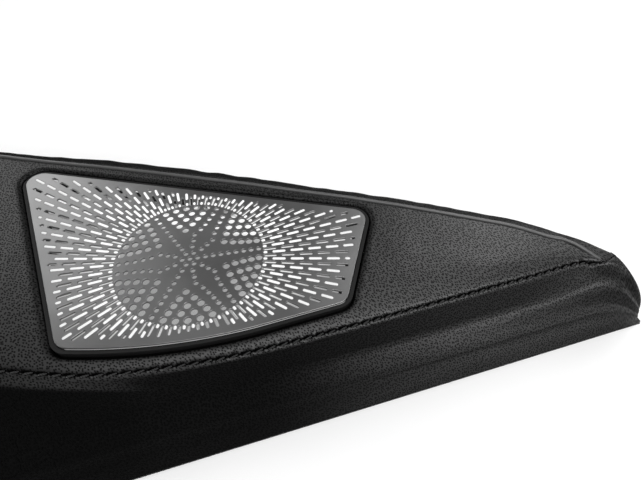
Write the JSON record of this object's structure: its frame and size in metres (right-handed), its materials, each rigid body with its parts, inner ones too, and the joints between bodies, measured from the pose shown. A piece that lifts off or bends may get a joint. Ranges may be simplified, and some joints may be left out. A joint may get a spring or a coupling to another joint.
{
  "type": "car tweeter",
  "caption": "Leather-wrapped door-corner pod with a lit perforated steel grille over a dome tweeter, light guide, crossover capacitor and rear socket.",
  "frame": {"origin": "centre of the pod's footprint on its mounting plane, the underside of the carrier's rim", "axes": "+Z out of the show face along the tweeter's axis, +X along the straight front rim towards the pointed nose, +Y towards the piped back edge"},
  "size_m": [0.254, 0.1456, 0.035],
  "materials": {
    "cover_leather": "grained",
    "piping_leather": "satin",
    "seam_thread": "twisted thread",
    "cover_foam": "open-cell foam",
    "carrier_plastic": "matte",
    "grille_steel": "satin",
    "foam_tape": "matte",
    "opal_acrylic": "satin",
    "housing_plastic": "matte",
    "scrim_cloth": "woven",
    "circuit_board": "matte",
    "led_package": "gloss",
    "screw_zinc": "satin",
    "gasket_foam": "matte",
    "tweeter_plastic": "satin",
    "dome_silk": "coated silk",
    "surround_cloth": "matte",
    "former_foil": "satin",
    "copper_wire": "enamelled",
    "motor_steel": "satin",
    "magnet_nickel": "polished",
    "grey_felt": "felt",
    "board_brown": "matte",
    "tinned_brass": "satin",
    "socket_nylon": "satin",
    "capacitor_film": "gloss",
    "lead_red": "satin",
    "lead_black": "satin",
    "lead_white": "satin",
    "spring_steel": "satin"
  },
  "bodies": {
    "pod": {"leather_upper": "cover_leather", "leather_lower": "cover_leather", "leather_border": "cover_leather", "piping_cord": "piping_leather", "seam_stitches": "seam_thread", "foam_pad": "cover_foam", "trim_carrier": "carrier_plastic", "grille_plate": "grille_steel", "grille_tape": "foam_tape", "light_guide": "opal_acrylic", "speaker_housing": "housing_plastic", "acoustic_scrim": "scrim_cloth", "led_strip_board": "circuit_board", "led_chips": "led_package", "housing_screws": "screw_zinc", "tweeter_screws": "screw_zinc", "tweeter_gasket": "gasket_foam", "tweeter_faceplate": "tweeter_plastic", "tweeter_chassis": "tweeter_plastic", "dome_surround": "surround_cloth", "pole_plate": "motor_steel", "magnet": "magnet_nickel", "yoke_cup": "motor_steel", "damping_felt": "grey_felt", "rear_cap": "tweeter_plastic", "terminal_board": "board_brown", "terminal_tabs": "tinned_brass", "connector_socket": "socket_nylon", "connector_pins": "tinned_brass", "crossover_capacitor": "capacitor_film", "capacitor_tie": "carrier_plastic", "input_lead": "lead_red", "positive_lead": "lead_red", "negative_lead": "lead_black", "led_leads": "lead_white", "retaining_clips": "spring_steel"},
    "diaphragm": {"dome_diaphragm": "dome_silk", "voice_coil_former": "former_foil", "voice_coil": "copper_wire"}
  },
  "joints": [
    {"name": "diaphragm_travel", "type": "slide", "parent": "pod", "child": "diaphragm", "axis": [0, 0, 1], "range_m": [-0.0004, 0.0004], "stiffness_N_per_m": 200, "deforming": ["dome_surround"]}
  ]
}
